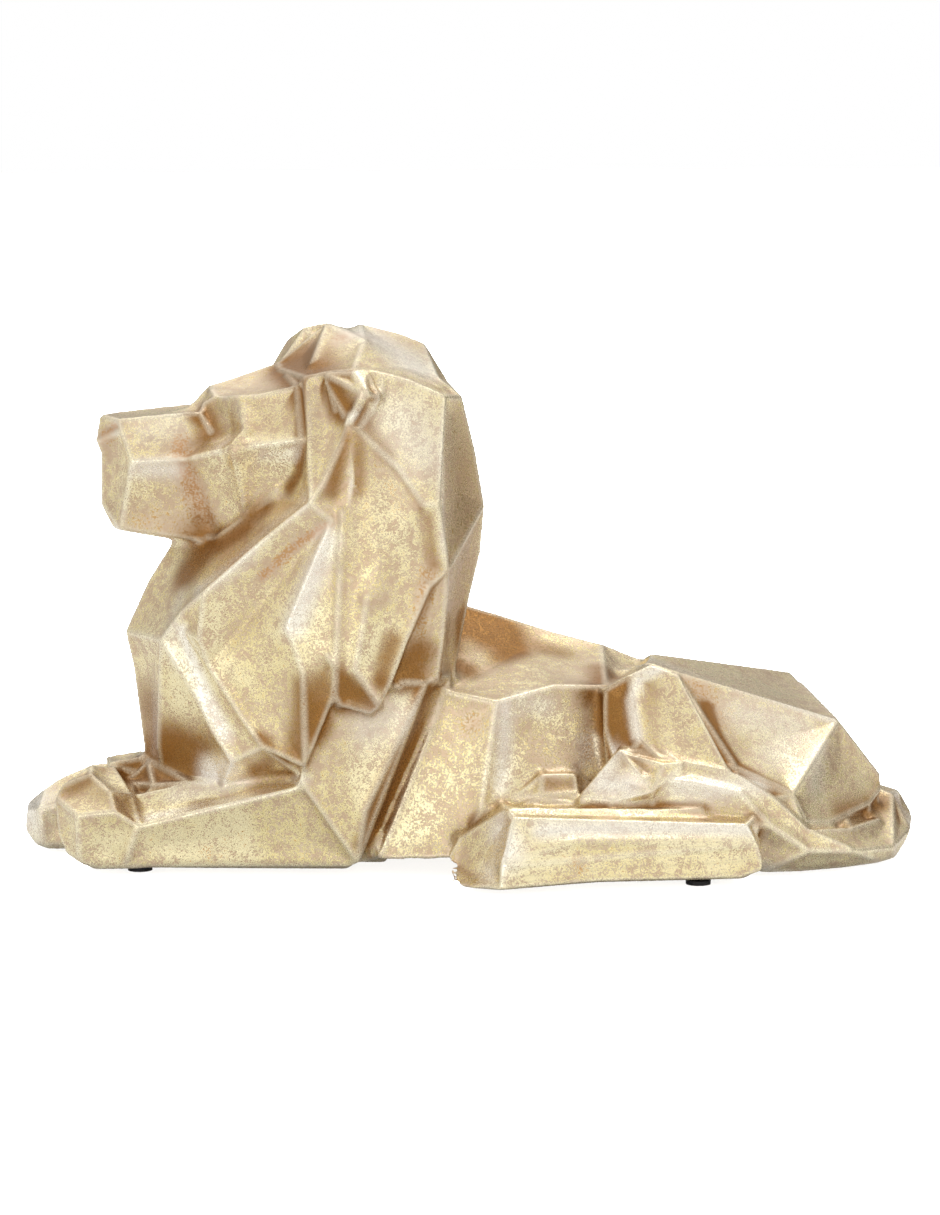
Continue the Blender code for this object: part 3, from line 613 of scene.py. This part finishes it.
# Lines carved into the skin: reach to each side, rise (below 0 it is sunk), and route, in mm
CARVED = {
    "eye socket": (8, 1.5, [(-97, -9, 190), (-97, -15, 183), (-96, -20, 177), (-100, -22, 171)]),
    "cheek": (8, 1.3, [(-100, -22, 171), (-99, -18, 159), (-95, -14, 146)]),
    "eye": (9, -1.5, [(-107, 2, 189), (-106, -6, 178)]),
    "behind the mouth": (5, -0.9, [(-121, -7, 167), (-116, -5, 158), (-113, -2, 147), (-108, -3, 136)]),
    "ruff": (6, 1.2, [(-72, -21, 197), (-72, -27, 185), (-72, -34, 174), (-73, -40, 161)]),
    "under the ear": (5, 1.0, [(-57, -43, 180), (-57, -45, 161), (-59, -46, 145), (-62, -47, 130)]),
    "edge of the side": (4, -0.9, [
        (-53, -43, 181), (-43, -45, 169), (-30, -48, 152), (-28, -48, 137), (-26, -47, 123),
    ]),
    "lock": (7, 1.3, [(-53, -44, 177), (-49, -47, 157), (-48, -49, 142), (-46, -50, 130), (-49, -50, 115)]),
    "streak": (5, -0.8, [(-66, -45, 144), (-77, -41, 137), (-86, -37, 129), (-97, -33, 117)]),
    "edge of the crown": (6, 1.2, [(-51, -34, 202), (-41, -30, 202), (-33, -24, 203), (-20, -25, 197)]),
    "ear rim": (3.5, 1.2, EAR_RIM),
    "tuft": (1.8, -0.6, TUFT_CREASE),
    "foot": (6, 1.0, [(-1, -84, 14), (14, -80, 19), (28, -79, 21), (54, -77, 20), (95, -74, 19)]),
}

# Brush strokes: reach in mm, strength, the way the painted facets face (None for any), and route in mm
# Where the glaze stayed brown in the hollows, and where it also paints the shade in hollows, under
# overhangs, on the crown front and behind the mane
BROWN_AND_SHADE_STROKES = {
    "ear cup": (15, 0.95, (-0.65, -0.75, 0.1), [(-62, -34, 198), (-58, -36, 190)]),
    "back of the ear": (5, 0.8, None, [(-47, -41, 200), (-47, -42, 194)]),
    "beside the ear": (9, 0.8, None, [(-53, -42, 188), (-54, -44, 174), (-55, -46, 158)]),
    "below the ear": (11, 0.85, None, [(-49, -43, 182), (-43, -45, 172)]),
    "above the ear": (6, 0.7, None, [(-70, -24, 203), (-58, -33, 203)]),
    "edge of the side": (3.5, 0.75, None, [
        (-53, -43, 181), (-43, -45, 169), (-30, -48, 152), (-27, -47, 130),
    ]),
    "under the crown": (4, 0.7, None, [(-41, -31, 200), (-33, -27, 200), (-20, -28, 195)]),
    "bridge": (12, 0.9, None, [(-118, 4, 187), (-114, 0, 184)]),
    "brow": (18, 0.35, None, [(-88, -14, 190), (-84, -24, 182)]),
    "eye": (14, 0.65, None, [(-111, -1, 185), (-109, -2, 176)]),
    "crown front": (28, 1.1, (-0.65, -0.3, 0.7), [(-73, 6, 205), (-70, -18, 201)]),
    "behind the brow": (6, 0.95, None, [(-73, -22, 193), (-75, -29, 178), (-77, -32, 163), (-79, -27, 157)]),
    "under the ear": (9, 0.95, (-0.3, -0.9, 0.1), [(-60, -43, 178), (-65, -45, 158)]),
    "behind the cheek": (9, 1.0, None, [(-91, -23, 149), (-98, -20, 143)]),
    "valley of the mane": (7, 0.35, None, [(-50, -46, 163), (-52, -48, 145), (-52, -49, 130)]),
    "under the jaw": (11, 0.95, None, [(-97, -20, 140), (-107, -13, 132), (-116, -6, 128)]),
    "throat": (20, 1.2, None, [(-116, -8, 132), (-121, -5, 122)]),
    "foot of the breast": (36, 1.5, (-0.78, -0.6, -0.15), [(-134, 2, 40), (-126, -8, 41), (-120, -15, 39)]),
    "foot of the band": (7, 0.8, None, [(-98, -28, 44), (-90, -33, 47)]),
    "keel": (30, 0.9, (-0.92, -0.34, -0.18), [(-134, 6, 62), (-131, 1, 44)]),
    "step": (18, 1.3, None, [(-140, 9, 38), (-132, 4, 38), (-124, -4, 38)]),
    "behind the band": (6, 0.8, None, [(-92, -36, 58), (-83, -39, 50)]),
    "before the arm": (12, 0.85, None, [(-77, -46, 70), (-80, -43, 54)]),
    "under the front lock": (17, 1.0, None, [(-75, -47, 78), (-73, -47, 64)]),
    "edge of the big lock": (9, 0.9, None, [(-42, -49, 98), (-47, -49, 82)]),
    "under the big lock": (18, 1.1, (0.0, -0.85, -0.5), [(-62, -47, 78), (-50, -52, 72)]),
    "below the big lock": (6, 0.85, None, [(-57, -48, 72), (-46, -48, 71)]),
    "mane notch": (6, 0.7, None, [(-27, -47, 146), (-25, -46, 128)]),
    "foot of the notch": (13, 1.0, None, [(-28, -44, 92), (-36, -44, 82)]),
    "back of the mane": (44, 0.65, (0.75, -0.65, 0.1), [(-11, -27, 170), (-9, -30, 143), (-12, -28, 112)]),
    "back of the arm": (14, 1.1, (0.75, -0.58, -0.3), [
        (-22, -44, 86), (-29, -43, 72), (-37, -39, 47), (-45, -37, 14),
    ]),
    "behind the arm": (9, 1.1, None, [
        (-29, -44, 76), (-36, -44, 56), (-41, -44, 44), (-47, -44, 32), (-51, -43, 15),
    ]),
    "front of the trunk": (6, 0.55, None, [(-21, -38, 76), (-32, -40, 48), (-42, -40, 22)]),
    "arm": (12, 0.35, None, [(-60, -45, 60), (-54, -45, 66)]),
    "shoulder": (18, 1.2, None, [(-9, -12, 104), (-5, -10, 95)]),
    "behind the mane": (14, 1.4, None, [(-12, -22, 102), (-7, -20, 87)]),
    "back": (30, 1.3, (0.3, -0.3, 0.9), [(-4, 8, 102), (10, 6, 93)]),
    "long back": (15, 0.9, None, [(16, 5, 91), (36, 4, 87)]),
    "loin": (12, 0.8, None, [(54, -12, 79), (48, -8, 78), (46, -20, 75), (40, -30, 71)]),
    "before the groin": (9, 0.75, None, [(46, -30, 70), (46, -34, 56)]),
    "groin": (26, 1.25, (-0.45, -0.82, 0.35), [(52, -41, 72), (50, -47, 55)]),
    "groin wall": (12, 1.3, None, [(47, -42, 70), (46, -43, 53)]),
    "behind the thigh": (7, 1.3, None, [(89, -35, 66), (90, -44, 56), (97, -53, 43)]),
    "seam of the tail": (10, 1.2, None, [(100, -54, 40), (111, -55, 34)]),
    "top of the tail": (14, 0.7, None, [(142, -40, 22), (165, -22, 22), (172, -10, 20)]),
    "hip": (24, 0.35, None, [(94, -30, 66), (104, -40, 48)]),
    "over the tail": (8, 0.6, None, [(132, -40, 25), (150, -34, 22), (168, -16, 24)]),
    "tip of the tail": (9, 0.9, None, [(171, -10, 19), (170, -14, 14)]),
    "end of the tail": (20, 0.9, (0.7, -0.64, 0.22), [(178, -6, 18), (172, -20, 16)]),
    "under the belly": (7, 0.7, None, [(-8, -50, 24), (2, -47, 28)]),
    "under paw": (8, 0.8, None, [(20, -47, 38), (28, -47, 36), (34, -46, 38)]),
    "top of the foot": (5, 1.0, None, [(22, -62, 31), (60, -62, 30), (82, -62, 30)]),
    "crease of the tuft": (1.8, 0.8, None, TUFT_CREASE),
    "end of the foot": (6, 0.7, None, [(103, -66, 26), (104, -70, 8)]),
    "top of the leg": (6, 0.5, None, [(-110, -24, 40), (-92, -32, 42), (-76, -38, 43)]),
    "top of the paw": (20, 0.6, None, [(-162, -12, 36), (-150, -20, 34)]),
}
# Where it was rubbed pale and bright, and painted highlights where facets catch the light
PALE_AND_HIGHLIGHT_STROKES = {
    "band": (6, 0.9, (-0.45, -0.88, 0.0), [
        (-123, -18, 99), (-119, -21, 87), (-112, -25, 69), (-106, -28, 58),
    ]),
    "blade": (9, 0.9, None, [(-67, -46, 138), (-74, -45, 120), (-80, -44, 104)]),
    "beside the mouth": (8, 0.8, None, [(-138, -5, 163), (-125, -6, 163)]),
    "nose": (7, 0.6, None, [(-151, 4, 183), (-150, 1, 176)]),
    "muzzle": (12, 0.35, None, [(-135, -2, 178), (-125, -1, 180)]),
    "ear rim": (2.6, 0.9, None, EAR_RIM),
    "ridge of the ruff": (8, 1.0, None, [
        (-75, -40, 153), (-87, -34, 143), (-97, -33, 133), (-107, -29, 124), (-115, -24, 117),
    ]),
    "line below the ear": (1.8, 0.8, None, [(-57, -43, 178), (-57, -45, 161), (-60, -46, 140)]),
    "eye socket": (3.5, 0.7, None, [(-97, -9, 190), (-97, -15, 183), (-97, -20, 176)]),
    "cheekbone": (8, 0.6, None, [(-104, -14, 172), (-92, -20, 172), (-78, -26, 172)]),
    "rump": (10, 0.5, None, [(66, -14, 84), (92, -12, 79), (124, -14, 72), (138, -14, 68)]),
    "breast": (10, 0.4, None, [(-124, -11, 110), (-127, -15, 98), (-124, -17, 88)]),
    "sill": (11, 1.2, None, [(-114, -21, 42), (-105, -26, 44)]),
    "belly end": (7, 1.0, None, [(40, -33, 52), (40, -33, 44), (36, -35, 40)]),
    "side": (22, 0.55, (0.15, -0.94, 0.3), [(-36, -39, 184), (-28, -40, 172)]),
    "crown": (20, 0.9, None, [(-44, 6, 213), (-32, -4, 210), (-27, -14, 205)]),
    "edge of the mane": (3, 0.4, None, [(-21, -39, 168), (-21, -46, 137), (-19, -42, 112), (-20, -36, 84)]),
    "arm": (16, 0.45, None, [(-50, -45, 62), (-40, -45, 66)]),
    "trunk ridge": (8, 0.8, (0.4, -0.9, 0.1), [(5, -41, 68), (4, -43, 50), (2, -45, 38)]),
    "trunk edge": (5, 0.6, None, [(8, -42, 72), (6, -44, 50), (2, -45, 36)]),
    "belly": (9, 0.5, None, [(12, -38, 70), (22, -35, 68)]),
    "hip": (16, 0.5, None, [(104, -33, 63), (128, -30, 56), (114, -42, 45)]),
    "hip line": (4, 0.6, None, [(70, -22, 82), (100, -22, 72), (130, -24, 61), (143, -23, 57)]),
    "front of the thigh": (4, 0.9, None, [(57, -50, 57), (56, -43, 70), (60, -39, 79), (68, -38, 82)]),
    "end of the haunch": (11, 0.5, None, [(136, -38, 48), (130, -43, 34)]),
    "tuft": (11, 0.95, (-0.25, -0.86, 0.42), [(46, -50, 48), (42, -57, 39), (52, -61, 39)]),
    "tail": (9, 0.8, None, [(72, -63, 38), (90, -62, 37), (104, -58, 36)]),
    "foot of the tail": (7, 0.8, None, [(108, -60, 5), (134, -52, 4), (156, -42, 4)]),
    "foot bevel": (7, 1.0, (0.07, -0.95, 0.3), [(14, -78, 25), (62, -74, 24), (98, -72, 22)]),
    "foot end": (12, 1.0, None, [(-1, -74, 24), (0, -82, 18), (-6, -80, 10)]),
    "leg": (5, 0.7, None, [(-140, -24, 24), (-110, -32, 31), (-76, -41, 42)]),
    "inside of the leg": (8, 0.5, None, [(-126, -18, 31), (-100, -27, 37)]),
    "far paw": (22, 1.0, None, [(-183, 37, 16), (-182, 50, 12)]),
}
# Copper clay that shows through
COPPER = {
    "streak": (4, 1.0, None, [(-66, -45, 144), (-77, -41, 137), (-92, -35, 122)]),
    "lip": (12, 0.4, None, [(-138, -1, 142), (-128, 0, 139), (-114, -3, 137)]),
    "cheek valley": (9, 0.9, None, [(-122, -5, 174), (-119, -5, 160), (-112, -3, 142)]),
    "nostril": (6, 1.0, None, [(-152, 13, 174), (-147, 6, 178)]),
    "crown": (9, 0.8, None, [(-56, 3, 216), (-46, 0, 214)]),
    "ruff": (8, 0.5, None, [(-66, -30, 204)]),
    "mane notch": (9, 0.6, None, [(-27, -48, 124), (-31, -47, 92)]),
    "hip": (13, 0.65, None, [(86, -29, 72), (92, -38, 60)]),
    "foot": (7, 0.6, None, [(28, -82, 12)]),
    "leg": (8, 0.5, None, [(-112, -32, 9)]),
    "trunk": (10, 0.5, None, [(-8, -40, 62)]),
    "under the ear": (7, 0.5, None, [(-46, -48, 166), (-38, -49, 152)]),
}
# Where more leaf is left
LEAF = {
    "leg": (40, 0.7, None, [(-120, -32, 20), (-70, -42, 20)]),
    "paw": (20, 0.7, None, [(-150, -28, 15)]),
    "foot": (30, 0.5, None, [(0, -80, 12), (90, -78, 10)]),
    "breast": (26, 0.6, None, [(-122, -14, 78)]),
    "broad lock": (34, 0.5, None, [(-95, -40, 85), (-75, -44, 70)]),
    "haunch": (30, 0.5, None, [(130, -50, 40)]),
    "muzzle": (16, 0.5, None, [(-140, -2, 165)]),
    "lock": (22, 0.4, None, [(-45, -52, 100)]),
}
# Where less leaf is left; at the crown front it darkens the facets as painted shade
BARE_AND_SHADE_STROKES = {
    "forehead": (22, 1.0, (-0.3, -0.2, 0.95), [(-104, 8, 194), (-86, 0, 199)]),
    # Painted shade: the crown front is darkened for a dark reflection
    "crown front": (24, 1.0, (-0.75, -0.3, 0.6), [(-70, 6, 210)]),
    "loin": (26, 0.6, None, [(40, -16, 76)]),
    "arm": (24, 0.5, None, [(-52, -45, 62)]),
    "back": (24, 0.4, None, [(0, -22, 82)]),
    "trunk foot": (18, 0.4, None, [(22, -42, 44)]),
}

def build_lion():
    """The softened casting with what its finish reads at each point, along with its painted shade and
    painted highlights.
    """
    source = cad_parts["lion"]
    lines = edge_lines(source)
    skin = softened(source, lines)
    points, normals = mesh_points(skin.data)
    tree = BVHTree.FromPolygons(points.tolist(), [tuple(face.vertices) for face in skin.data.polygons])
    # The shade, brown and pale layers carry painted shade and painted highlights
    layers = {
        "ridge": lines["ridge"].gaps(points) / MM,
        "crease": lines["crease"].gaps(points) / MM,
        "shade": 1.0 - openness(points, normals, tree),
        "copper": paint(points, normals, COPPER),
        "brown_and_shade": paint(points, normals, BROWN_AND_SHADE_STROKES),
        "leaf": paint(points, normals, LEAF) - paint(points, normals, BARE_AND_SHADE_STROKES),
        "pale_and_highlight": paint(points, normals, PALE_AND_HIGHLIGHT_STROKES),
    }
    for name, values in layers.items():
        store(skin.data, name, values)
    skin.data.materials.clear()
    skin.data.materials.append(leaf_material())
    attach(skin, "root")
    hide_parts("lion")


def finish_pads():
    """Black rubber on the four pads."""
    rubber = rubber_material()
    for name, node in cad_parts.items():
        if name.startswith("pad_"):
            node.data.materials.clear()
            node.data.materials.append(rubber)


def build_floor():
    """A wide white floor, with the collection that its own light falls on."""
    bpy.ops.mesh.primitive_grid_add(x_subdivisions=2, y_subdivisions=2, size=FLOOR_SIZE, location=(0, 0, 0))
    floor = bpy.context.object
    floor.name = "floor"
    floor.data.materials.append(floor_material())
    group = bpy.data.collections.new("lit_floor")
    group.objects.link(floor)
    return group


# Light and camera

def direction(azimuth, elevation):
    """The unit vector towards a place seen from the figure; azimuth 0 is the viewer's side."""
    turn = math.radians(azimuth)
    rise = math.radians(elevation)
    return Vector((math.sin(turn) * math.cos(rise), -math.cos(turn) * math.cos(rise), math.sin(rise)))


# Wide glows in the room: azimuth and elevation in degrees, cosine at the edge, and strength
GLOWS = [
    (-24, -8, 0.70, 1.0),
    (15, -8, 0.75, 0.30),
    (28, 25, 0.75, 0.50),
    (58, 2, 0.75, 0.52),
    (-50, 10, 0.70, 0.60),
    (-112, 15, 0.60, 0.45),
    (-35, 45, 0.70, 0.38),
    (75, 58, 0.65, 0.65),
    (178, 55, 0.70, 0.75),
    (-120, 62, 0.60, 0.45),
    (165, 22, 0.75, 0.12),
]


def background(tree, colour, strength=1.0):
    """One background shader."""
    node = tree.nodes.new("ShaderNodeBackground")
    node.inputs["Color"].default_value = colour
    node.inputs["Strength"].default_value = strength
    return node


def glow_strength(tree, place, row):
    """How bright one glow is in each direction."""
    azimuth, elevation, edge, strength = row
    aim = tree.nodes.new("ShaderNodeVectorMath")
    aim.operation = "DOT_PRODUCT"
    aim.inputs[1].default_value = direction(azimuth, elevation)
    tree.links.new(place, aim.inputs[0])
    rise = tree.nodes.new("ShaderNodeMapRange")
    rise.interpolation_type = "SMOOTHSTEP"
    rise.inputs["From Min"].default_value = edge
    rise.inputs["From Max"].default_value = GLOW_CORE
    rise.inputs["To Max"].default_value = strength
    tree.links.new(aim.outputs["Value"], rise.inputs["Value"])
    return rise.outputs["Result"]


def build_world():
    """A soft studio: white for the camera, and wide glows in a dim room for the figure."""
    world = bpy.data.worlds.new("studio")
    bpy.context.scene.world = world
    world.use_nodes = True
    tree = world.node_tree
    tree.nodes.clear()
    link = tree.links.new
    output = tree.nodes.new("ShaderNodeOutputWorld")
    coordinates = tree.nodes.new("ShaderNodeTexCoord")
    light = background(tree, rgba(ROOM_COLOUR), ROOM_STRENGTH).outputs[0]
    for row in GLOWS:
        glow = background(tree, WHITE)
        link(glow_strength(tree, coordinates.outputs["Generated"], row), glow.inputs["Strength"])
        both = tree.nodes.new("ShaderNodeAddShader")
        link(light, both.inputs[0])
        link(glow.outputs[0], both.inputs[1])
        light = both.outputs[0]
    paths = tree.nodes.new("ShaderNodeLightPath")
    choose = tree.nodes.new("ShaderNodeMixShader")
    link(paths.outputs["Is Camera Ray"], choose.inputs["Fac"])
    link(light, choose.inputs[1])
    link(background(tree, WHITE).outputs[0], choose.inputs[2])
    link(choose.outputs[0], output.inputs["Surface"])


def floor_sun(group):
    """Even light that falls on the floor alone, with no shadow, and keeps it white."""
    lamp = bpy.data.lights.new("floor_sun", "SUN")
    lamp.energy = FLOOR_SUN_ENERGY
    lamp.angle = math.radians(FLOOR_SUN_DEGREES)
    item = bpy.data.objects.new("floor_sun", lamp)
    bpy.context.collection.objects.link(item)
    item.location = (0, 0, FLOOR_SUN_HEIGHT)
    item.light_linking.receiver_collection = group
    item.light_linking.blocker_collection = group


def softbox(name, azimuth, elevation, distance, width, height, power):
    """A rectangular lamp that looks at the figure."""
    lamp = bpy.data.lights.new(name, "AREA")
    lamp.shape = "RECTANGLE"
    lamp.size = width
    lamp.size_y = height
    lamp.energy = power
    item = bpy.data.objects.new(name, lamp)
    bpy.context.collection.objects.link(item)
    item.location = direction(azimuth, elevation) * distance + AIM
    item.rotation_euler = (AIM - item.location).to_track_quat("-Z", "Y").to_euler()


def build_camera():
    """The photograph's view."""
    data = bpy.data.cameras.new("camera")
    camera = bpy.data.objects.new("camera", data)
    bpy.context.collection.objects.link(camera)
    bpy.context.scene.camera = camera
    data.sensor_fit = "AUTO"
    data.sensor_width = SENSOR
    data.lens = FOCAL_PIXELS / IMAGE_HEIGHT * SENSOR
    data.clip_start = CLIP_START
    data.clip_end = CLIP_END
    camera.location = AIM + direction(VIEW_AZIMUTH, VIEW_ELEVATION) * VIEW_DISTANCE
    camera.rotation_euler = (AIM - camera.location).to_track_quat("-Z", "Y").to_euler()


build_lion()
finish_pads()
lit_floor = build_floor()
build_world()
softbox("top", **TOP_LAMP)
floor_sun(lit_floor)
build_camera()
bpy.context.scene.view_settings.view_transform = "Standard"
bpy.context.view_layer.update()
